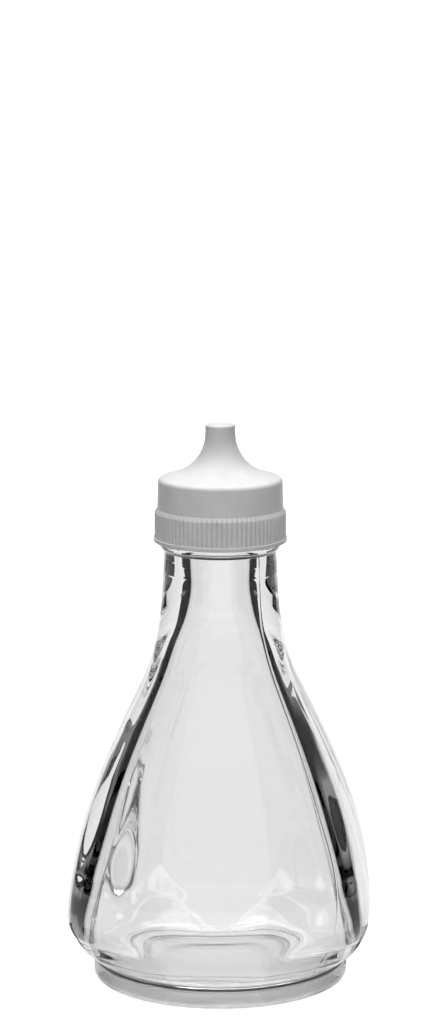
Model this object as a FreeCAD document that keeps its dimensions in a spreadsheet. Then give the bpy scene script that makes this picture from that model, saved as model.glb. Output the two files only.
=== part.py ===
import FreeCAD, Part
import math
import os
import re

import Sketcher

# A vinegar bottle: a pear-shaped clear glass bottle with four flat panels between round
# corners, on a ring foot, and the white plastic screw cap with a trumpet-shaped spout that
# sits on its neck. Millimetres, +Z up, the origin in the middle of the foot's underside.
# The panels face along X and Y, and the round corners lie on the diagonals.

SIZES = [
    ("foot_radius", 30.2, "outer radius of the ring foot"),
    ("foot_height", 4.6, "underside to the groove above the foot"),
    ("foot_edge_round", 1.3, "rounding of the foot's lower edge"),
    ("groove_depth", 0.8, "how far the groove lies inside the foot"),
    ("rest_width", 5.2, "foot's side to the inner edge of the ring that it stands on"),
    ("push_up", 1.2, "rise of the hollow underside in the middle"),
    ("pear_height", 87.4, "groove to the start of the neck"),
    ("panel_radius", 35.8, "widest distance from the axis to a panel"),
    ("panel_level", 13.4, "groove to where the panels are widest"),
    ("panel_crown", 2.2, "bulge of a panel across its full width"),
    ("corner_reach", 4.6, "how far the round corners stand out beyond the panels"),
    ("corner_level", 19.4, "groove to where the corners are widest"),
    ("neck_radius", 13.2, "neck radius under the bead"),
    ("neck_flare", 0.6, "how much the neck widens down to the pear"),
    ("neck_height", 11.4, "start of the neck to the bead"),
    ("bead_height", 1.7, "height of the bead under the cap"),
    ("finish_step", 0.6, "how far the glass inside the cap lies inside the neck's side"),
    ("finish_height", 13.5, "top of the bead to the rim"),
    ("rim_round", 0.8, "rounding of the rim's outer edge"),
    ("neck_wall", 5.4, "glass round the bore"),
    ("panel_wall", 2.8, "glass behind the panels at the cavity's widest level"),
    ("corner_wall", 3.3, "glass behind the corners where the cavity has its full reach"),
    ("heel_wall", 7.4, "groove to the edge of the cavity's flat floor"),
    ("floor_level", 7.0, "underside to the cavity floor"),
    ("cavity_drop", 4.5, "how far the cavity's widest level lies under the panels'"),
    ("bore_rise", 1.0, "start of the neck to the start of the straight bore"),
    ("cap_gap", 0.25, "clearance round the glass inside the cap, and under its lip"),
    ("skirt_wall", 1.95, "wall of the cap at the foot of its smooth band"),
    ("band_taper", 0.2, "how much the smooth band narrows upwards"),
    ("grip_reach", 0.65, "how far the ribs stand out beyond the band"),
    ("grip_height", 5.9, "height of the ribbed band"),
    ("grip_bevel", 1.0, "height of the bevel above the ribs"),
    ("lip_reach", 0.25, "how far the lip stands out of the ribs"),
    ("lip_height", 1.0, "height of the lip"),
    ("lip_bevel", 0.3, "bevel of the lip's lower edge"),
    ("shoulder_round", 1.2, "rounding between the band and the top"),
    ("top_slope", 16.7, "slope of the cap's top, in degrees"),
    ("top_rise", 2.82, "rim of the bottle to the foot of the spout's flare"),
    ("top_wall", 1.3, "wall of the top and of the spout"),
    ("seat_width", 2.0, "width of the seat on the rim"),
    ("spout_radius", 3.5, "radius of the spout's tip"),
    ("spout_flare", 10.0, "radius of the flare under the tip"),
    ("spout_straight", 2.0, "straight length of the spout's tip"),
    ("spout_round", 0.5, "rounding of the tip"),
    ("hole_radius", 1.5, "radius of the pouring hole"),
    ("dish_width", 1.1, "width of the dished ring round the hole"),
    ("dish_depth", 1.0, "depth of the dished tip"),
    ("notch_depth", 0.3, "depth of the notches between the ribs"),
    ("notch_width", 0.7, "width of a notch at the surface"),
    ("rib_count", 80, "ribs round the cap"),
]

# The outlines of the pear's round corners, of its panels and of the cavity. Each has rows from
# its foot up to its widest level, then rows from there up to its top. A row is a share of that
# height, and the share of the way out from the radius at that end to the widest radius.
CORNER_RISE = [
    (0.0, 0.0), (0.05, 0.13), (0.12, 0.27), (0.22, 0.43), (0.36, 0.61), (0.51, 0.79), (0.72, 0.945),
]
CORNER_FALL = [
    (0.0, 1.0), (0.09, 0.981), (0.18, 0.921), (0.265, 0.827), (0.38, 0.69), (0.5, 0.541),
    (0.62, 0.372), (0.735, 0.205), (0.825, 0.094), (0.91, 0.028), (1.0, 0.0),
]

# The panels' outline runs on past both ends, outside the corners', so that the pear's foot and
# neck stay round.
PANEL_RISE = [(-0.35, 0.55), (0.0, 0.64), (0.37, 0.76), (0.7, 0.948)]
PANEL_FALL = [
    (0.0, 1.0), (0.08, 0.977), (0.16, 0.932), (0.245, 0.868), (0.325, 0.786), (0.435, 0.65),
    (0.54, 0.502), (0.65, 0.334), (0.757, 0.168), (0.84, 0.08), (0.92, 0.034), (1.03, 0.034),
]

# The cavity's rows have a third number: the share of its full reach into the corners.
CAVITY_RISE = [(0.0, 0.0, 0.0), (0.08, 0.36, 0.02), (0.25, 0.66, 0.06), (0.55, 0.91, 0.17)]
CAVITY_FALL = [
    (0.0, 1.0, 0.33), (0.04, 0.985, 0.48), (0.082, 0.945, 0.62), (0.13, 0.9, 0.76),
    (0.176, 0.86, 0.86), (0.3, 0.752, 0.752), (0.421, 0.635, 0.635), (0.55, 0.486, 0.486),
    (0.67, 0.334, 0.334), (0.763, 0.225, 0.225), (0.846, 0.143, 0.143), (0.92, 0.06, 0.06),
    (1.0, 0.0, 0.0),
]

# What follows from the sizes, as expressions.
GROOVE_RADIUS = "(foot_radius - groove_depth)"
CORNER_RADIUS = "(panel_radius + corner_reach)"
NECK_BASE_RADIUS = "(neck_radius + neck_flare)"
FINISH_RADIUS = "(neck_radius - finish_step)"
BORE_RADIUS = "(neck_radius - neck_wall)"
CAVITY_RADIUS = "(panel_radius - panel_wall)"
CAVITY_CORNER_REACH = "(corner_reach - corner_wall + panel_wall)"
PANELS_WIDEST = "(foot_height + panel_level)"
CORNERS_WIDEST = "(foot_height + corner_level)"
NECK_START = "(foot_height + pear_height)"
BORE_START = f"({NECK_START} + bore_rise)"
BEAD_BOTTOM = f"({NECK_START} + neck_height)"
BEAD_TOP = f"({BEAD_BOTTOM} + bead_height)"
RIM_LEVEL = f"({BEAD_TOP} + finish_height)"
LIP_TOP = f"({BEAD_TOP} + cap_gap + lip_height)"
GRIP_RADIUS = f"({FINISH_RADIUS} + cap_gap + skirt_wall + grip_reach)"

FULL_TURN = 360

doc = FreeCAD.newDocument("VinegarBottle")
sheet = doc.addObject("Spreadsheet::Sheet", "Sizes")
for row, (alias, value, meaning) in enumerate(SIZES, start=1):
    sheet.set(f"A{row}", meaning)
    sheet.set(f"B{row}", str(value))
    sheet.setAlias(f"B{row}", alias)
doc.recompute()


def bound(text):
    """The expression with every named size looked up in the sheet."""
    return re.sub(r"\b([a-z]+(?:_[a-z]+)+)\b", r"Sizes.\1", text)


def value_of(text):
    """The number that an expression of named sizes gives now."""
    return float(sheet.evalExpression(bound(text)))


def raise_to(thing, level):
    """Places an object at a height given by an expression."""
    thing.setExpression(".Placement.Base.z", bound(level))


def add_arc(sketch, start, end, radius, turn):
    """Adds an arc to a sketch, and gives its number and which of its ends the outline meets first.

    turn is 1 where the outline turns left along the arc, and -1 where it turns right.
    """
    chord = end - start
    rise = math.sqrt(max(radius ** 2 - (chord.Length / 2) ** 2, 0))
    side = FreeCAD.Vector(-chord.y, chord.x, 0).normalize()
    centre = (start + end) * 0.5 + side * (turn * rise)
    first, last = (start, end) if turn > 0 else (end, start)
    angles = [math.atan2(point.y - centre.y, point.x - centre.x) for point in (first, last)]
    circle = Part.Circle(centre, FreeCAD.Vector(0, 0, 1), radius)
    number = sketch.addGeometry(Part.ArcOfCircle(circle, angles[0], angles[1]), False)
    return number, (1, 2) if turn > 0 else (2, 1)


def pin(sketch, number, end, x, y):
    """Fixes an end of a sketch edge at a point given by two expressions."""
    for kind, text, axis in (("DistanceX", x, -2), ("DistanceY", y, -1)):
        if text == "0":
            sketch.addConstraint(Sketcher.Constraint("PointOnObject", number, end, axis))
        else:
            place = sketch.addConstraint(Sketcher.Constraint(kind, -1, 1, number, end, value_of(text)))
            sketch.setExpression(f"Constraints[{place}]", bound(text))


def draw_outline(sketch, corners):
    """Draws a closed outline from corners of the form (x, y) or (x, y, radius, turn).

    A corner with a radius is reached along an arc from the one before it.
    """
    points = [FreeCAD.Vector(value_of(corner[0]), value_of(corner[1]), 0) for corner in corners]
    edges = []
    for index, corner in enumerate(corners):
        start, end = points[index - 1], points[index]
        if len(corner) > 2:
            number, ends = add_arc(sketch, start, end, value_of(corner[2]), corner[3])
        else:
            number, ends = sketch.addGeometry(Part.LineSegment(start, end), False), (1, 2)
        edges.append((number, ends))
    for index, (number, ends) in enumerate(edges):
        following, following_ends = edges[(index + 1) % len(edges)]
        joined = Sketcher.Constraint("Coincident", number, ends[1], following, following_ends[0])
        sketch.addConstraint(joined)
        pin(sketch, number, ends[1], corners[index][0], corners[index][1])
        if len(corners[index]) > 2:
            radius = Sketcher.Constraint("Radius", number, value_of(corners[index][2]))
            place = sketch.addConstraint(radius)
            sketch.setExpression(f"Constraints[{place}]", bound(corners[index][2]))


def turned(label, corners):
    """A solid turned about Z from an outline of radii and heights."""
    sketch = doc.addObject("Sketcher::SketchObject", label + "_outline")
    sketch.Placement = FreeCAD.Placement(
        FreeCAD.Vector(0, 0, 0), FreeCAD.Rotation(FreeCAD.Vector(1, 0, 0), 90)
    )
    draw_outline(sketch, corners)
    solid = doc.addObject("Part::Revolution", label)
    solid.Source = sketch
    solid.Axis = FreeCAD.Vector(0, 0, 1)
    solid.Angle = FULL_TURN
    solid.Solid = True
    return solid


def lofted(label, sections):
    """A smooth solid through closed sections."""
    solid = doc.addObject("Part::Loft", label)
    solid.Sections = sections
    solid.Solid = True
    solid.Ruled = False
    return solid


def round_section(label, level, radius):
    """A circle about Z."""
    circle = doc.addObject("Part::Circle", label)
    circle.setExpression("Radius", bound(radius))
    raise_to(circle, level)
    return circle


def square_section(label, level, radius, crown):
    """A square of four bulging sides about Z.

    radius is from the axis to the middle of a side, and crown is how far a side bulges.
    """
    sketch = doc.addObject("Sketcher::SketchObject", label)
    corner = f"({radius} - {crown})"
    side_radius = f"({corner} * {corner} + {crown} * {crown}) / (2 * {crown})"
    draw_outline(sketch, [
        (corner, corner, side_radius, 1),
        ("-" + corner, corner, side_radius, 1),
        ("-" + corner, "-" + corner, side_radius, 1),
        (corner, "-" + corner, side_radius, 1),
    ])
    raise_to(sketch, level)
    return sketch


def joined(kind, label, shapes):
    """A boolean of several objects."""
    result = doc.addObject(kind, label)
    result.Shapes = shapes
    return result


def outline_levels(rise, fall, foot, widest, top):
    """The (height, radius, further shares) of each level of an outline.

    foot, widest and top are each a height and a radius.
    """
    levels = []
    for rows, (start, end), still in ((rise, (foot, widest), foot), (fall, (widest, top), top)):
        for share, swell, *more in rows:
            height = f"{start[0]} + {share} * ({end[0]} - {start[0]})"
            radius = f"({still[1]} + {swell} * ({widest[1]} - {still[1]}))"
            levels.append((height, radius, more))
    return levels


def make_pear():
    """The body between groove and neck: round, and cut to four panels."""
    foot = ("foot_height", GROOVE_RADIUS)
    neck = (NECK_START, NECK_BASE_RADIUS)
    corner_levels = outline_levels(
        CORNER_RISE, CORNER_FALL, foot, (CORNERS_WIDEST, CORNER_RADIUS), neck
    )
    panel_levels = outline_levels(
        PANEL_RISE, PANEL_FALL, foot, (PANELS_WIDEST, "panel_radius"), neck
    )
    corners = [
        round_section(f"corner_level_{number}", height, radius)
        for number, (height, radius, _) in enumerate(corner_levels)
    ]
    panels = [
        square_section(f"panel_level_{number}", height, radius, "panel_crown")
        for number, (height, radius, _) in enumerate(panel_levels)
    ]
    shapes = [lofted("round_pear", corners), lofted("four_sided_pear", panels)]
    return joined("Part::MultiCommon", "pear", shapes)


def make_cavity():
    """The space inside: a round floor, softly square behind the panels, and the round bore."""
    floor = ("floor_level", f"({GROOVE_RADIUS} - heel_wall)")
    widest = (f"({PANELS_WIDEST} - cavity_drop)", CAVITY_RADIUS)
    levels = outline_levels(CAVITY_RISE, CAVITY_FALL, floor, widest, (BORE_START, BORE_RADIUS))
    sections = []
    for number, (height, radius, (reach,)) in enumerate(levels):
        crown = f"({radius} - ({radius} + {reach} * {CAVITY_CORNER_REACH}) * sqrt(0.5))"
        sections.append(square_section(f"cavity_level_{number}", height, radius, crown))
    bore = doc.addObject("Part::Cylinder", "bore")
    bore.setExpression("Radius", bound(BORE_RADIUS))
    bore.setExpression("Height", bound(f"{RIM_LEVEL} - {BORE_START}"))
    raise_to(bore, BORE_START)
    return joined("Part::MultiFuse", "glass_inside", [lofted("cavity", sections), bore])


def make_foot():
    """The ring foot, hollowed a little underneath, up to the groove."""
    rest_radius = "(foot_radius - rest_width)"
    hollow_radius = f"({rest_radius} * {rest_radius} + push_up * push_up) / (2 * push_up)"
    return turned("foot", [
        ("0", "foot_height"),
        ("0", "push_up"),
        (rest_radius, "0", hollow_radius, -1),
        ("foot_radius - foot_edge_round", "0"),
        ("foot_radius", "foot_edge_round", "foot_edge_round", 1),
        ("foot_radius", "foot_height - groove_depth"),
        (GROOVE_RADIUS, "foot_height", "groove_depth", 1),
    ])


def make_neck():
    """The neck, the half-round bead under the cap and the plain finish inside the cap."""
    return turned("neck", [
        ("0", RIM_LEVEL),
        ("0", NECK_START),
        (NECK_BASE_RADIUS, NECK_START),
        ("neck_radius", BEAD_BOTTOM),
        ("neck_radius + bead_height / 2", f"{BEAD_BOTTOM} + bead_height / 2", "bead_height / 2", 1),
        ("neck_radius", BEAD_TOP, "bead_height / 2", 1),
        (FINISH_RADIUS, BEAD_TOP),
        (FINISH_RADIUS, f"{RIM_LEVEL} - rim_round"),
        (f"{FINISH_RADIUS} - rim_round", RIM_LEVEL, "rim_round", 1),
    ])


def make_bottle():
    """The glass bottle: foot, pear and neck, less the cavity and the bore."""
    bottle = doc.addObject("Part::Cut", "bottle")
    bottle.Base = joined("Part::MultiFuse", "glass_outside", [make_foot(), make_pear(), make_neck()])
    bottle.Tool = make_cavity()
    return bottle


def cap_corners():
    """The cap's half section, from the pouring hole over the top, down the skirt and back inside."""
    flare_top = f"({RIM_LEVEL} + top_rise + spout_flare * cos(top_slope))"
    tip = f"({flare_top} + spout_straight)"
    flare_middle = "(spout_radius + spout_flare)"
    flare_foot_radius = f"({flare_middle} - spout_flare * sin(top_slope))"
    flare_foot_level = f"({RIM_LEVEL} + top_rise)"
    skirt_radius = f"({FINISH_RADIUS} + cap_gap)"
    band_radius = f"({skirt_radius} + skirt_wall)"
    top_radius = f"({band_radius} - band_taper)"
    shoulder_radius = f"({top_radius} - shoulder_round * (1 - sin(top_slope)))"
    shoulder_level = f"({flare_foot_level} - ({shoulder_radius} - {flare_foot_radius}) * tan(top_slope))"
    grip_top = f"({LIP_TOP} + grip_height)"
    lip_radius = f"({GRIP_RADIUS} + lip_reach)"
    lip_bottom = f"({BEAD_TOP} + cap_gap)"
    seat_radius = f"({FINISH_RADIUS} - rim_round - seat_width)"
    inner_flare = "(spout_flare + top_wall)"
    inset = f"({flare_middle} - {seat_radius})"
    inner_flare_foot = f"{flare_top} - sqrt({inner_flare} * {inner_flare} - {inset} * {inset})"
    inner_tip_radius = "(spout_radius - top_wall)"
    return [
        ("hole_radius", f"{tip} - dish_depth"),
        ("hole_radius + dish_width", tip),
        ("spout_radius - spout_round", tip),
        ("spout_radius", f"{tip} - spout_round", "spout_round", -1),
        ("spout_radius", flare_top),
        (flare_foot_radius, flare_foot_level, "spout_flare", 1),
        (shoulder_radius, shoulder_level),
        (top_radius, f"{shoulder_level} - shoulder_round * cos(top_slope)", "shoulder_round", -1),
        (band_radius, f"{grip_top} + grip_bevel"),
        (GRIP_RADIUS, grip_top),
        (GRIP_RADIUS, LIP_TOP),
        (lip_radius, LIP_TOP),
        (lip_radius, f"{lip_bottom} + lip_bevel"),
        (f"{lip_radius} - lip_bevel", lip_bottom),
        (skirt_radius, lip_bottom),
        (skirt_radius, RIM_LEVEL),
        (seat_radius, RIM_LEVEL),
        (seat_radius, inner_flare_foot),
        (inner_tip_radius, flare_top, inner_flare, -1),
        ("hole_radius", f"{flare_top} + ({inner_tip_radius} - hole_radius)"),
    ]


def origin_plane(body, role):
    """One of a body's own origin planes."""
    return next(plane for plane in body.Origin.OriginFeatures if plane.Role == role)


def make_cap():
    """The one-piece screw cap with its hollow spout and the ribs round its skirt."""
    body = doc.addObject("PartDesign::Body", "cap")
    outline = body.newObject("Sketcher::SketchObject", "cap_outline")
    outline.AttachmentSupport = [(origin_plane(body, "XZ_Plane"), "")]
    outline.MapMode = "FlatFace"
    draw_outline(outline, cap_corners())
    turned_cap = body.newObject("PartDesign::Revolution", "turned_cap")
    turned_cap.Profile = outline
    turned_cap.ReferenceAxis = (outline, ["V_Axis"])
    turned_cap.Angle = FULL_TURN
    doc.recompute()

    notch = body.newObject("Sketcher::SketchObject", "notch_outline")
    notch.AttachmentSupport = [(origin_plane(body, "XY_Plane"), "")]
    notch.MapMode = "FlatFace"
    notch.setExpression(".AttachmentOffset.Base.z", bound(LIP_TOP))
    draw_outline(notch, [
        (f"{GRIP_RADIUS} - notch_depth", "0"),
        (f"{GRIP_RADIUS} + notch_depth", "-notch_width"),
        (f"{GRIP_RADIUS} + notch_depth", "notch_width"),
    ])
    cut = body.newObject("PartDesign::Pocket", "first_notch")
    cut.Profile = notch
    cut.Reversed = True
    cut.setExpression("Length", bound("grip_height"))
    ribs = body.newObject("PartDesign::PolarPattern", "ribs")
    ribs.Originals = [cut]
    ribs.Axis = (notch, ["N_Axis"])
    ribs.Angle = FULL_TURN
    ribs.setExpression("Occurrences", bound("rib_count"))
    body.Tip = ribs
    doc.recompute()
    if not ribs.Shape.Volume < turned_cap.Shape.Volume:
        raise RuntimeError("the notches between the ribs cut nothing")
    return body


def check(nodes):
    """Stops if any object failed, or a sub-part has no valid shape."""
    failed = [thing.Name for thing in doc.Objects if {"Invalid", "Error"} & set(thing.State)]
    if failed:
        raise RuntimeError("failed objects: " + ", ".join(failed))
    for node in nodes:
        shape = node.Shape
        if shape.isNull() or not shape.isValid() or len(shape.Solids) != 1:
            raise RuntimeError(node.Label + " has no single valid solid")


nodes = [make_bottle(), make_cap()]
doc.recompute()
check(nodes)
os.makedirs("parts", exist_ok=True)
for node in nodes:
    node.Shape.exportStep(f"parts/{node.Label}.step")
    box = node.Shape.BoundBox
    print(node.Label, "volume", round(node.Shape.Volume), "height", round(box.ZMax - box.ZMin, 2))
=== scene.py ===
import math

import bpy
import numpy as np
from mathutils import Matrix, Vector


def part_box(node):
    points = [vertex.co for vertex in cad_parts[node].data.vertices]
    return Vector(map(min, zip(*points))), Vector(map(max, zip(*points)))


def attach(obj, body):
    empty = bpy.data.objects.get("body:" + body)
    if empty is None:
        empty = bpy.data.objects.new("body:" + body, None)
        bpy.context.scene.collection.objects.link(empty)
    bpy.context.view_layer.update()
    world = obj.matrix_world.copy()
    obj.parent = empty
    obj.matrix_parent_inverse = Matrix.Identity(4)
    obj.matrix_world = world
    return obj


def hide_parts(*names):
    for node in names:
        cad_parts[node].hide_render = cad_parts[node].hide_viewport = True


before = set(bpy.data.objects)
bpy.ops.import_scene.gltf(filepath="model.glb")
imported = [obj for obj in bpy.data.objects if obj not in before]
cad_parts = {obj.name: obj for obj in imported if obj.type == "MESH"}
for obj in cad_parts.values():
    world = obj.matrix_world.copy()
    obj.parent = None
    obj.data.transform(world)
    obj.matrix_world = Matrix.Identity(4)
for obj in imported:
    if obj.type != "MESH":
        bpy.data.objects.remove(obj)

# The looks of a clear glass vinegar bottle with a white plastic spout cap, on a white studio
# table. Outlines are in millimetres, as in the CAD source, and MM turns them into metres.
# Each piece is one closed mesh, made of a stack of rings round Z. The glass's rings run from the
# underside over the rim to the cavity's floor. The cap's run from its hole over its top, down
# round the skirt and back up inside.

MM = 0.001
FULL_TURN = 2 * math.pi
QUARTER_TURN = math.pi / 2

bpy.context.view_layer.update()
bottle_low, bottle_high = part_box("bottle")
cap_low, cap_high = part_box("cap")

# The main levels and radii, from the frame.
RIM_LEVEL = bottle_high.z / MM
TIP_LEVEL = cap_high.z / MM
LIP_BOTTOM = cap_low.z / MM
LIP_RADIUS = cap_high.x / MM
PANEL_RADIUS = bottle_high.x / MM

# Foot and pear.
FOOT_RADIUS = 30.2
FOOT_HEIGHT = 4.6
FOOT_EDGE_ROUND = 1.3
GROOVE_DEPTH = 0.8
GROOVE_RADIUS = FOOT_RADIUS - GROOVE_DEPTH
REST_RADIUS = 25.0
PUSH_UP = 1.2
PANELS_WIDEST = 18.0
PANEL_CROWN = 2.2
PANEL_EDGE_ROUND = 1.8
CORNERS_WIDEST = 24.0
CORNER_RADIUS = PANEL_RADIUS + 4.6

# Neck, bead and the finish under the cap.
NECK_START = 92.0
NECK_BASE_RADIUS = 13.8
NECK_RADIUS = 13.2
CAP_GAP = 0.25
BEAD_HEIGHT = 1.7
BEAD_TOP = LIP_BOTTOM - CAP_GAP
BEAD_BOTTOM = BEAD_TOP - BEAD_HEIGHT
FINISH_RADIUS = 12.6
RIM_ROUND = 0.8

# The space inside.
FLOOR_LEVEL = 8.0
FLOOR_RADIUS = 28.0
CAVITY_WIDEST = 16.0
CAVITY_RADIUS = PANEL_RADIUS - 2.8
CAVITY_CORNER_REACH = 3.7
CAVITY_CORNER_RISE = 20.0
BORE_START = 93.0
BORE_RADIUS = 7.1

# Outlines: shares of the height between two levels, and of the way out to the widest radius.
CORNER_RISE = [
    (0.0, 0.0), (0.05, 0.13), (0.12, 0.27), (0.22, 0.43), (0.36, 0.61), (0.51, 0.79), (0.72, 0.945),
]
CORNER_FALL = [
    (0.0, 1.0), (0.09, 0.981), (0.18, 0.921), (0.265, 0.827), (0.38, 0.69), (0.5, 0.541),
    (0.62, 0.372), (0.735, 0.205), (0.825, 0.094), (0.91, 0.028), (1.0, 0.0),
]
PANEL_RISE = [(-0.35, 0.55), (0.0, 0.64), (0.37, 0.76), (0.7, 0.948)]
PANEL_FALL = [
    (0.0, 1.0), (0.08, 0.977), (0.16, 0.932), (0.245, 0.868), (0.325, 0.786), (0.435, 0.65),
    (0.54, 0.502), (0.65, 0.334), (0.757, 0.168), (0.84, 0.08), (0.92, 0.034), (1.03, 0.034),
]
CAVITY_RISE = [(0.0, 0.0), (0.06, 0.33), (0.25, 0.67), (0.55, 0.91)]
CAVITY_FALL = [
    (0.0, 1.0), (0.04, 0.985), (0.082, 0.945), (0.13, 0.9), (0.176, 0.86), (0.3, 0.752),
    (0.421, 0.635), (0.55, 0.486), (0.67, 0.334), (0.763, 0.225), (0.846, 0.143), (0.92, 0.06),
    (1.0, 0.0),
]

# Marks of the mould: a seam up two opposite corners, a faint joint round the neck, and a ripple.
SEAM_ANGLES = (-QUARTER_TURN / 2, 1.5 * QUARTER_TURN)
SEAM_HEIGHT = 0.05
SEAM_WIDTH = 0.16
JOINT_LEVEL = 98.2
JOINT_DEPTH = 0.02
JOINT_WIDTH = 0.22
OUTER_RIPPLE = 0.012
INNER_RIPPLE = 0.03

# The cap.
SKIRT_RADIUS = FINISH_RADIUS + CAP_GAP
BAND_FOOT_RADIUS = SKIRT_RADIUS + 1.95
BAND_TOP_RADIUS = BAND_FOOT_RADIUS - 0.2
GRIP_RADIUS = LIP_RADIUS - 0.25
LIP_TOP = LIP_BOTTOM + 1.0
GRIP_TOP = LIP_TOP + 5.9
BEVEL_TOP = GRIP_TOP + 1.0
TOP_SLOPE = math.radians(16.7)
SPOUT_RADIUS = 3.5
SPOUT_FLARE = 10.0
SPOUT_STRAIGHT = 2.0
CAP_WALL = 1.3
SEAT_RADIUS = FINISH_RADIUS - RIM_ROUND - 2.0
HOLE_RADIUS = 1.5
DISH_RADIUS = 2.6
DISH_DEPTH = 1.0
BAND_ROUND = 1.2
INNER_STEP = 1.6
SPOUT_ROOF = 0.7
RIBS = 80
RIB_DEPTH = 0.4

# How finely the meshes are divided.
GLASS_ANGLES = 240
CAP_ANGLES_PER_RIB = 8
ARC_STEP = math.radians(12)

# Colours in the glass: a clear tint, with painted shade in it. There is a grey band round the foot,
# and near-black lines at the groove over the foot and under the bead that stand for the dark edges
# of the glass.
CLEAR = (0.94, 0.942, 0.94, 1)
# Painted shade: grey for the band round the foot, near-black for the lines at the groove and the
# bead.
FOOT_SHADE_GREY = (0.55, 0.55, 0.55, 1)
LINE_SHADE_BLACK = (0.01, 0.01, 0.01, 1)
STIPPLE_TOP = 1.25
FOOT_SHADE_BAND = (2.9, 1.7)
GROOVE_SHADE_LINE = (FOOT_HEIGHT + 0.1, 0.5)
BEAD_SHADE_LINE = (BEAD_BOTTOM, 0.3)

# The studio, in metres. A card's slope is how far it spreads in Y for each metre out in X.
TABLE_REACH = 6.0
CARD_LIFT = 0.0004
CARD_WALL, CARD_TOP = 0.40, 0.60
BLACK_NEAR, BLACK_SLOPE = 0.15, 0.65
LYING_NEAR, FADED_SLOPE = 0.22, 1.28
GREY_NEAR, GREY_FAR, GREY_SLOPE = 0.70, 1.6, 1.54
# Painted shade: black strips lying on the table close round the foot, seen only through the glass,
# darken the foot's ends.
FOOT_CARD_NEAR, FOOT_CARD_FAR = 0.0315, 0.055
FOOT_CARD_ANGLES = np.radians(np.linspace(25, 80, 12))
CARD_FADE_LOW, CARD_FADE_HIGH = 0.02, 0.07

# The camera, in metres and degrees.
CAMERA_AZIMUTH, CAMERA_PITCH, CAMERA_AIM_RIGHT = 3, 10.36, 0.0194
CAMERA_DISTANCE, CAMERA_HEIGHT = 0.820, 0.262


def smooth_curve(rows):
    """A natural cubic spline through (x, y) rows, as a function of x."""
    x, y = np.array(sorted(rows)).T
    gaps = np.diff(x)
    slopes = np.diff(y) / gaps
    count = len(x)
    matrix = np.eye(count)
    right = np.zeros(count)
    for row in range(1, count - 1):
        before, after = gaps[row - 1], gaps[row]
        matrix[row, row - 1:row + 2] = before, 2 * (before + after), after
        right[row] = 6 * (slopes[row] - slopes[row - 1])
    bend = np.linalg.solve(matrix, right)

    def curve(at):
        at = np.clip(at, x[0], x[-1])
        part = np.clip(np.searchsorted(x, at) - 1, 0, count - 2)
        low, high, gap = at - x[part], x[part + 1] - at, gaps[part]
        return (
            (bend[part] * high ** 3 + bend[part + 1] * low ** 3) / (6 * gap)
            + (y[part] / gap - bend[part] * gap / 6) * high
            + (y[part + 1] / gap - bend[part + 1] * gap / 6) * low
        )

    return curve


def outline_rows(rise, fall, foot, widest, top):
    """The (level, radius) rows of an outline. foot, widest and top are levels with radii."""
    rows = []
    for shares, (start, end), still in ((rise, (foot, widest), foot), (fall, (widest, top), top)):
        for share, swell in shares:
            level = start[0] + share * (end[0] - start[0])
            rows.append((level, still[1] + swell * (widest[1] - still[1])))
    return rows


def rounded(corners):
    """Points (radius, level) along straight runs. A corner is (radius, level) or, with a fillet,
    (radius, level, fillet radius)."""
    points = []
    for number, corner in enumerate(corners):
        here = np.array(corner[:2], float)
        if len(corner) == 2:
            points.append(here)
            continue
        before = np.array(corners[number - 1][:2], float) - here
        after = np.array(corners[(number + 1) % len(corners)][:2], float) - here
        before /= np.linalg.norm(before)
        after /= np.linalg.norm(after)
        half = math.acos(np.clip(before @ after, -1, 1)) / 2
        middle = (before + after) / np.linalg.norm(before + after)
        centre = here + middle * corner[2] / math.sin(half)
        first = here + before * corner[2] / math.tan(half) - centre
        last = here + after * corner[2] / math.tan(half) - centre
        sweep = math.pi - 2 * half
        steps = max(3, math.ceil(sweep / ARC_STEP))
        for share in np.linspace(0, 1, steps + 1):
            blend = math.sin((1 - share) * sweep) * first + math.sin(share * sweep) * last
            points.append(centre + blend / math.sin(sweep))
    return points


def waves(angles, level, seed, size):
    """A slow, irregular ripple in the glass."""
    ripple = 0
    for number in range(1, 6):
        lobes = number + 1
        phase = seed * 1.7 + number * 2.399
        ripple = ripple + np.sin(lobes * angles + phase + level * (0.05 + 0.037 * number)) / number
        ripple = ripple + 0.6 * np.sin(level * (0.11 + 0.13 * number) + phase) / number
    return size * ripple


def turned_mesh(name, rings, closed):
    """A mesh from rings of (angles, radii, levels) in millimetres.

    A closed stack joins its last ring to its first. Any other ends in a point on the axis, twice.
    """
    count = len(rings[0][0])
    points = []
    for angles, radii, levels in rings:
        level = np.broadcast_to(levels, angles.shape)
        points.append(np.stack([radii * np.cos(angles), radii * np.sin(angles), level], axis=1))
    points = np.concatenate(points) * MM
    faces = []
    last = len(rings) if closed else len(rings) - 1
    for ring in range(last):
        low, high = ring * count, (ring + 1) % len(rings) * count
        for place in range(count):
            following = (place + 1) % count
            faces.append((low + place, low + following, high + following, high + place))
    if not closed:
        for ring, turn in ((0, -1), (len(rings) - 1, 1)):
            level = rings[ring][2]
            points = np.vstack([points, [0, 0, float(np.mean(level)) * MM]])
            centre, start = len(points) - 1, ring * count
            for place in range(count):
                fan = (start + place, start + (place + 1) % count, centre)
                faces.append(fan[::turn])
    mesh = bpy.data.meshes.new(name)
    mesh.from_pydata(points.tolist(), [], faces)
    mesh.polygons.foreach_set("use_smooth", np.ones(len(faces), bool))
    mesh.update()
    piece = bpy.data.objects.new(name, mesh)
    bpy.context.scene.collection.objects.link(piece)
    return piece


def soft_least(first, second, width):
    """The smaller of two radii, with the edge between them rounded."""
    near = np.clip(width - np.abs(first - second), 0, None) / width
    return np.minimum(first, second) - near ** 2 * width / 4


def glass_angles():
    """Even steps round the bottle, and finer ones at the seams."""
    even = np.arange(GLASS_ANGLES) * FULL_TURN / GLASS_ANGLES - math.pi
    fine = np.linspace(-1, 1, 9) * math.radians(0.5)
    return np.unique(np.round(np.concatenate([even, *(seam + fine for seam in SEAM_ANGLES)]), 6))


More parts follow.
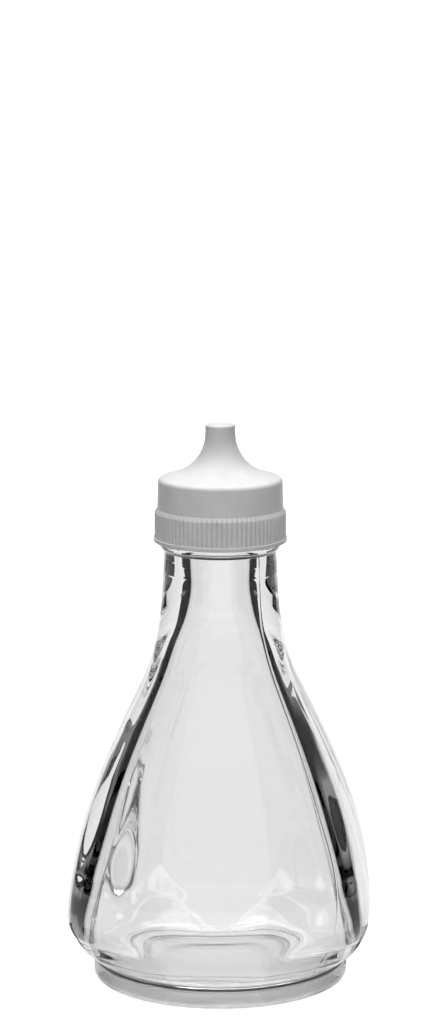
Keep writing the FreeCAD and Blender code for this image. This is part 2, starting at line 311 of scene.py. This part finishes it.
def panel_section(angles, radius):
    """A square of four bulging sides, as radii."""
    corner = radius - PANEL_CROWN
    side = (corner ** 2 + PANEL_CROWN ** 2) / (2 * PANEL_CROWN)
    centre = radius - side
    turn = (angles + QUARTER_TURN / 2) % QUARTER_TURN - QUARTER_TURN / 2
    return centre * np.cos(turn) + np.sqrt(side ** 2 - (centre * np.sin(turn)) ** 2)


def outer_rings(angles):
    """The outside of the glass, from the underside up to the rim."""
    ones = np.ones(len(angles))
    shares = np.linspace(0.05, 0.97, 14)
    hollow = [(share * REST_RADIUS, PUSH_UP * (1 - share ** 2)) for share in shares]
    foot = rounded([
        hollow[-1],
        (REST_RADIUS, 0.0, 0.3),
        (FOOT_RADIUS, 0.0, FOOT_EDGE_ROUND),
        (FOOT_RADIUS, FOOT_HEIGHT, GROOVE_DEPTH),
        (GROOVE_RADIUS, FOOT_HEIGHT),
    ])[:-1]
    rings = [(angles, radius * ones, level) for radius, level in hollow[:-1] + foot]

    foot_end = (FOOT_HEIGHT, GROOVE_RADIUS)
    neck_end = (NECK_START, NECK_BASE_RADIUS)
    corner_rows = outline_rows(
        CORNER_RISE, CORNER_FALL, foot_end, (CORNERS_WIDEST, CORNER_RADIUS), neck_end
    )
    corner_rows += [(NECK_START + 5.0, 13.5), (BEAD_BOTTOM, NECK_RADIUS)]
    corner = smooth_curve(corner_rows)
    panel_rows = outline_rows(
        PANEL_RISE, PANEL_FALL, foot_end, (PANELS_WIDEST, PANEL_RADIUS), neck_end
    )
    panel = smooth_curve(panel_rows)
    levels = np.concatenate([
        FOOT_HEIGHT + 0.12 + np.arange(12) * 0.3,
        np.arange(FOOT_HEIGHT + 4.0, NECK_START, 0.7),
        np.arange(NECK_START, JOINT_LEVEL - 1, 0.8),
        np.arange(JOINT_LEVEL - 1, JOINT_LEVEL + 1, 0.12),
        np.arange(JOINT_LEVEL + 1, BEAD_BOTTOM - 0.1, 0.6),
    ])
    for level in levels:
        radius = corner(level) * ones
        if level < NECK_START + 2:
            section = panel_section(angles, panel(level))
            edge_round = PANEL_EDGE_ROUND * min(1, max(0.05, (panel(level) - NECK_BASE_RADIUS) / 9))
            radius = soft_least(radius, section, edge_round)
        radius = radius + waves(angles, level, 3, OUTER_RIPPLE)
        radius = radius - JOINT_DEPTH * math.exp(-((level - JOINT_LEVEL) / JOINT_WIDTH) ** 2)
        for seam in SEAM_ANGLES:
            aside = (angles - seam) * radius / SEAM_WIDTH
            radius = radius + SEAM_HEIGHT * np.exp(-aside ** 2)
        rings.append((angles, radius, level))

    bead_middle = BEAD_BOTTOM + BEAD_HEIGHT / 2
    bead_round = BEAD_HEIGHT / 2
    bead = [
        (NECK_RADIUS + bead_round * math.cos(turn), bead_middle + bead_round * math.sin(turn))
        for turn in np.linspace(-QUARTER_TURN, QUARTER_TURN, 13)
    ]
    finish = rounded([
        (FINISH_RADIUS, BEAD_TOP + 0.1),
        (FINISH_RADIUS, RIM_LEVEL, RIM_ROUND),
        (BORE_RADIUS, RIM_LEVEL, RIM_ROUND),
        (BORE_RADIUS, RIM_LEVEL - 2.0),
    ])
    rings += [(angles, radius * ones, level) for radius, level in bead + finish]
    return rings


def inner_rings(angles):
    """The inside of the glass, from under the rim down to the cavity's floor."""
    floor_end = (FLOOR_LEVEL, FLOOR_RADIUS)
    widest_end, bore_end = (CAVITY_WIDEST, CAVITY_RADIUS), (BORE_START, BORE_RADIUS)
    rows = outline_rows(CAVITY_RISE, CAVITY_FALL, floor_end, widest_end, bore_end)
    rows += [(level, BORE_RADIUS) for level in (BORE_START + 6, BORE_START + 14, RIM_LEVEL)]
    side = smooth_curve(rows)
    rings = []
    levels = np.concatenate([
        np.arange(RIM_LEVEL - 3.0, BORE_START, -1.2),
        np.arange(BORE_START, FLOOR_LEVEL + 3, -0.7),
        FLOOR_LEVEL + 3 - np.arange(1, 12) * 0.25,
    ])
    for level in levels:
        radius = float(side(level))
        widest = CAVITY_RADIUS - (BORE_RADIUS if level > CAVITY_WIDEST else FLOOR_RADIUS)
        swell = (radius - (CAVITY_RADIUS - widest)) / widest
        above = np.clip((level - FLOOR_LEVEL) / CAVITY_CORNER_RISE, 0, 1)
        corners = swell * above * CAVITY_CORNER_REACH * np.sin(2 * angles) ** 2
        ripple = waves(angles, level, 8, INNER_RIPPLE)
        rings.append((angles, radius + corners + ripple, level))
    radius = np.mean(rings[-1][1])
    for share in (0.97, 0.93, 0.85, 0.72, 0.55, 0.35, 0.15, 0.04):
        rings.append((angles, np.full(len(angles), radius * share), FLOOR_LEVEL + 0.02 * share))
    return rings


def rib_radius(angles):
    """The radius of the ribbed grip: rounded ribs with narrow notches between them."""
    across = np.abs(np.sin(angles * RIBS / 2))
    return GRIP_RADIUS - RIB_DEPTH * (1 - across) ** 2


def cap_rings():
    """The cap's surface, from the pouring hole over the top, down the skirt and back inside."""
    count = RIBS * CAP_ANGLES_PER_RIB
    angles = np.arange(count) * FULL_TURN / count
    flare_top = TIP_LEVEL - SPOUT_STRAIGHT
    flare_foot = flare_top - SPOUT_FLARE * math.cos(TOP_SLOPE)
    flare_foot_radius = SPOUT_RADIUS + SPOUT_FLARE * (1 - math.sin(TOP_SLOPE))

    def cone_at(radius):
        """The level of the sloped top, as if it had no spout or shoulder."""
        return flare_foot - (radius - flare_foot_radius) * math.tan(TOP_SLOPE)

    inner_radius = SPOUT_RADIUS - CAP_WALL
    inner_level = RIM_LEVEL + INNER_STEP
    corners = [
        (HOLE_RADIUS, TIP_LEVEL - DISH_DEPTH, 0.15),
        (DISH_RADIUS, TIP_LEVEL, 0.2),
        (SPOUT_RADIUS, TIP_LEVEL, 0.5),
        (SPOUT_RADIUS, cone_at(SPOUT_RADIUS), SPOUT_FLARE),
        (BAND_TOP_RADIUS, cone_at(BAND_TOP_RADIUS), BAND_ROUND),
        (BAND_FOOT_RADIUS, BEVEL_TOP, 0.25),
        (GRIP_RADIUS, GRIP_TOP, 0.35),
        (GRIP_RADIUS, LIP_TOP, 0.08),
        (LIP_RADIUS, LIP_TOP, 0.12),
        (LIP_RADIUS, LIP_BOTTOM, 0.3),
        (SKIRT_RADIUS, LIP_BOTTOM, 0.15),
        (SKIRT_RADIUS, RIM_LEVEL, 0.1),
        (SEAT_RADIUS, RIM_LEVEL, 0.1),
        (SEAT_RADIUS, inner_level, 0.4),
        (inner_radius, cone_at(inner_radius) - CAP_WALL, SPOUT_FLARE / 2),
        (inner_radius, flare_top, 0.2),
        (HOLE_RADIUS, flare_top + SPOUT_ROOF, 0.1),
    ]
    ribs = rib_radius(angles)
    rings = []
    for radius, level in rounded(corners):
        radii = np.full(count, radius)
        if radius > BAND_FOOT_RADIUS - 0.1 and LIP_TOP < level < BEVEL_TOP:
            radii = np.minimum(radii, ribs)
        rings.append((angles, radii, level))
    return rings


def new_material(name):
    """A material with its node tree and its Principled shader."""
    material = bpy.data.materials.new(name)
    material.use_nodes = True
    tree = material.node_tree
    return material, tree, tree.nodes["Principled BSDF"]


def own_place(tree):
    """The object's own coordinates."""
    return tree.nodes.new("ShaderNodeTexCoord").outputs["Object"]


def own_height(tree):
    """The height in the object's own coordinates, in metres."""
    split = tree.nodes.new("ShaderNodeSeparateXYZ")
    tree.links.new(own_place(tree), split.inputs["Vector"])
    return split.outputs["Z"]


def noise(tree, scale, detail):
    """A noise texture in the object's own coordinates."""
    texture = tree.nodes.new("ShaderNodeTexNoise")
    texture.inputs["Scale"].default_value = scale
    texture.inputs["Detail"].default_value = detail
    tree.links.new(own_place(tree), texture.inputs["Vector"])
    return texture.outputs["Fac"]


def calc(tree, operation, *values):
    """A Math node's result. Each value is a number or another node's output."""
    node = tree.nodes.new("ShaderNodeMath")
    node.operation = operation
    for socket, value in zip(node.inputs, values):
        if isinstance(value, (int, float)):
            socket.default_value = value
        else:
            tree.links.new(value, socket)
    return node.outputs["Value"]


def stretch(tree, source, start, end, low=0.0, high=1.0):
    """A value moved from start and end to low and high, and held between them."""
    node = tree.nodes.new("ShaderNodeMapRange")
    for name, value in (("From Min", start), ("From Max", end), ("To Min", low), ("To Max", high)):
        node.inputs[name].default_value = value
    tree.links.new(source, node.inputs["Value"])
    return node.outputs["Result"]


def between(tree, source, low, high):
    """A noise value stretched to run from low to high."""
    return stretch(tree, source, 0.3, 0.7, low, high)


def blend(tree, share, first, second):
    """A colour between two. The second is a colour or another blend."""
    node = tree.nodes.new("ShaderNodeMix")
    node.data_type = "RGBA"
    node.inputs["A"].default_value = first
    if isinstance(second, tuple):
        node.inputs["B"].default_value = second
    else:
        tree.links.new(second, node.inputs["B"])
    tree.links.new(share, node.inputs["Factor"])
    return node.outputs["Result"]


def add_bump(tree, shader, source, distance, strength):
    """Relief from a noise value. distance is in metres."""
    bump = tree.nodes.new("ShaderNodeBump")
    bump.inputs["Distance"].default_value = distance
    bump.inputs["Strength"].default_value = strength
    tree.links.new(source, bump.inputs["Height"])
    tree.links.new(bump.outputs["Normal"], shader.inputs["Normal"])


def glass_material():
    """Clear pressed glass with a faint ripple, faint handling marks and a stippled underside. Its
    colour has painted shade: a grey band round the foot and near-black lines at the groove and
    under the bead.
    """
    material, tree, shader = new_material("clear_glass")
    shader.inputs["Transmission Weight"].default_value = 1.0
    shader.inputs["IOR"].default_value = 1.5
    height = own_height(tree)
    colour = CLEAR
    # Painted shade: the glass is greyed in a band round the foot and nearly blackened in thin bands
    # at the groove and under the bead.
    for (level, half), shade in ((FOOT_SHADE_BAND, FOOT_SHADE_GREY), (GROOVE_SHADE_LINE, LINE_SHADE_BLACK), (BEAD_SHADE_LINE, LINE_SHADE_BLACK)):
        gap = calc(tree, "ABSOLUTE", calc(tree, "SUBTRACT", height, level * MM))
        colour = blend(tree, stretch(tree, gap, 0.6 * half * MM, half * MM), shade, colour)
    tree.links.new(colour, shader.inputs["Base Color"])
    marks = between(tree, noise(tree, 90, 4), 0.0, 0.02)
    stipple = stretch(tree, height, STIPPLE_TOP * MM, 0.5 * STIPPLE_TOP * MM, 0.0, 0.18)
    tree.links.new(calc(tree, "ADD", marks, stipple), shader.inputs["Roughness"])
    add_bump(tree, shader, noise(tree, 160, 2), 0.00002, 0.3)
    return material


def plastic_material():
    """Satin white moulded plastic."""
    material, tree, shader = new_material("white_plastic")
    mottle = between(tree, noise(tree, 220, 3), 0.0, 1.0)
    colour = blend(tree, mottle, (0.66, 0.66, 0.66, 1), (0.72, 0.72, 0.715, 1))
    tree.links.new(colour, shader.inputs["Base Color"])
    tree.links.new(between(tree, noise(tree, 900, 2), 0.3, 0.42), shader.inputs["Roughness"])
    add_bump(tree, shader, noise(tree, 2500, 2), 0.00002, 0.25)
    return material


def floor_material():
    """Matt white table, lit from below as well. It glows less on what it lights."""
    material, tree, shader = new_material("white_table")
    shader.inputs["Roughness"].default_value = 1.0
    shader.inputs["Specular IOR Level"].default_value = 0.0
    shader.inputs["Base Color"].default_value = (0.2, 0.2, 0.2, 1)
    shader.inputs["Emission Color"].default_value = (1, 1, 1, 1)
    path = tree.nodes.new("ShaderNodeLightPath").outputs
    seen = stretch(tree, path["Is Camera Ray"], 0.0, 1.0, 0.6, 0.95)
    glow = calc(tree, "MULTIPLY_ADD", path["Is Diffuse Ray"], -0.25, seen)
    tree.links.new(glow, shader.inputs["Emission Strength"])
    return material


def card_material(name, light):
    """Dark card that only the edges of the glass show: it is clear straight through the bottle.

    light is how brightly its foot glows. It fades to black higher up.
    """
    material = bpy.data.materials.new(name)
    material.use_nodes = True
    tree = material.node_tree
    tree.nodes.clear()
    path = tree.nodes.new("ShaderNodeLightPath").outputs
    unreflected = calc(tree, "LESS_THAN", path["Glossy Depth"], 0.5)
    through = calc(tree, "GREATER_THAN", path["Transmission Depth"], 2.5)
    straight = calc(tree, "MULTIPLY", unreflected, through)
    clear = tree.nodes.new("ShaderNodeBsdfTransparent")
    fade = stretch(tree, own_height(tree), CARD_FADE_HIGH, CARD_FADE_LOW)
    glow = calc(tree, "MULTIPLY", between(tree, noise(tree, 14, 4), 0.1 * light, light), fade)
    face = tree.nodes.new("ShaderNodeEmission")
    tree.links.new(glow, face.inputs["Strength"])
    mix = tree.nodes.new("ShaderNodeMixShader")
    tree.links.new(straight, mix.inputs["Fac"])
    tree.links.new(face.outputs["Emission"], mix.inputs[1])
    tree.links.new(clear.outputs["BSDF"], mix.inputs[2])
    out = tree.nodes.new("ShaderNodeOutputMaterial")
    tree.links.new(mix.outputs["Shader"], out.inputs["Surface"])
    return material


def sheet_of(name, corners, faces, material):
    """A stage object from a few corners, in metres."""
    mesh = bpy.data.meshes.new(name)
    mesh.from_pydata(corners, [], faces)
    mesh.materials.append(material)
    piece = bpy.data.objects.new(name, mesh)
    bpy.context.scene.collection.objects.link(piece)
    return piece


def quarter_cards(side, back, number, black, grey):
    """The cards of one quarter of the table: one that stands and three that lie."""
    standing = [
        (side * CARD_WALL, back * CARD_WALL * slope, z)
        for slope in (BLACK_SLOPE, FADED_SLOPE) for z in (CARD_LIFT, CARD_TOP)
    ]
    far = []
    for distance in (GREY_NEAR, GREY_FAR):
        for slope in (BLACK_SLOPE, GREY_SLOPE):
            x = distance / math.hypot(1, slope)
            far.append((side * x, back * x * slope, CARD_LIFT))
    lying = [
        (side * x, back * x * slope, CARD_LIFT)
        for x in (LYING_NEAR, CARD_WALL) for slope in (BLACK_SLOPE, FADED_SLOPE)
    ]
    # Painted shade: black strips lying right round the foot, seen only through the glass, stand for
    # the shade at the foot's ends.
    foot = [
        (side * distance * math.sin(turn), back * distance * math.cos(turn), CARD_LIFT)
        for turn in FOOT_CARD_ANGLES for distance in (FOOT_CARD_NEAR, FOOT_CARD_FAR)
    ]
    square = [(0, 1, 3, 2)]
    strips = [(n, n + 1, n + 3, n + 2) for n in range(0, len(foot) - 2, 2)]
    return [
        sheet_of(f"faded_card_{number}", standing, square, grey),
        sheet_of(f"grey_card_{number}", far, square, grey),
        sheet_of(f"lying_card_{number}", lying, square, black),
        sheet_of(f"foot_shade_card_{number}", foot, strips, black),
    ]


def make_stage():
    """The table, and the dark cards beside the bottle: black at the sides, grey further round."""
    reach = TABLE_REACH
    square = [(-reach, -reach, 0), (reach, -reach, 0), (reach, reach, 0), (-reach, reach, 0)]
    sheet_of("table", square, [(0, 1, 2, 3)], floor_material())
    black = card_material("black_card", 0.0)
    grey = card_material("grey_card", 0.28)
    pieces = []
    for side in (-1, 1):
        corners = []
        for x, z in ((BLACK_NEAR, CARD_LIFT), (CARD_WALL, CARD_LIFT), (CARD_WALL, CARD_TOP)):
            corners += [(side * x, -x * BLACK_SLOPE, z), (side * x, x * BLACK_SLOPE, z)]
        faces = [(0, 1, 3, 2), (2, 3, 5, 4)]
        pieces.append(sheet_of(f"black_card_{side + 2}", corners, faces, black))
        for back in (-1, 1):
            pieces += quarter_cards(side, back, side + 2 + (back + 1) * 2, black, grey)
    for piece in pieces:
        piece.visible_camera = False
        piece.visible_shadow = False


def make_lights():
    """A soft box overhead, and a white room that lights less than it shows."""
    lamp = bpy.data.lights.new("soft_top_light", "SUN")
    lamp.angle = math.radians(80)
    lamp.energy = 4.5
    holder = bpy.data.objects.new("soft_top_light", lamp)
    holder.location = (0.0, 0.0, 1.0)
    holder.visible_glossy = False
    bpy.context.scene.collection.objects.link(holder)

    world = bpy.data.worlds.new("white_room")
    bpy.context.scene.world = world
    world.use_nodes = True
    tree = world.node_tree
    back = tree.nodes["Background"]
    back.inputs["Color"].default_value = (1, 1, 1, 1)
    path = tree.nodes.new("ShaderNodeLightPath").outputs
    brightness = 0.3
    steps = (("Camera", 0.75), ("Transmission", 0.85), ("Glossy", -0.2), ("Diffuse", -0.1))
    for kind, more in steps:
        brightness = calc(tree, "MULTIPLY_ADD", path[f"Is {kind} Ray"], more, brightness)
    tree.links.new(brightness, back.inputs["Strength"])


def make_camera():
    """A long lens that looks down a little on the bottle, from just right of the front panel."""
    azimuth = math.radians(CAMERA_AZIMUTH)
    pitch = QUARTER_TURN - math.radians(CAMERA_PITCH)
    camera = bpy.data.cameras.new("camera")
    camera.sensor_width = 36
    camera.lens = 124.8
    camera.clip_start, camera.clip_end = 0.01, 50
    holder = bpy.data.objects.new("camera", camera)
    across, along = math.sin(azimuth), math.cos(azimuth)
    holder.location = (CAMERA_DISTANCE * across, -CAMERA_DISTANCE * along, CAMERA_HEIGHT)
    holder.rotation_euler = (pitch, 0, azimuth - math.radians(CAMERA_AIM_RIGHT))
    bpy.context.scene.collection.objects.link(holder)
    bpy.context.scene.camera = holder


def make_bottle():
    """The glass, in one closed mesh."""
    angles = glass_angles()
    rings = outer_rings(angles) + inner_rings(angles)
    piece = turned_mesh("glass_bottle", rings, closed=False)
    piece.data.materials.append(glass_material())
    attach(piece, "root")
    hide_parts("bottle")


def make_cap():
    """The cap, in one closed mesh."""
    piece = turned_mesh("spout_cap", cap_rings()[::-1], closed=True)
    piece.data.materials.append(plastic_material())
    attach(piece, "root")
    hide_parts("cap")


scene = bpy.context.scene
scene.view_settings.view_transform = "Standard"
scene.cycles.max_bounces = 32
scene.cycles.glossy_bounces = 16
scene.cycles.transmission_bounces = 24
make_stage()
make_lights()
make_camera()
make_bottle()
make_cap()
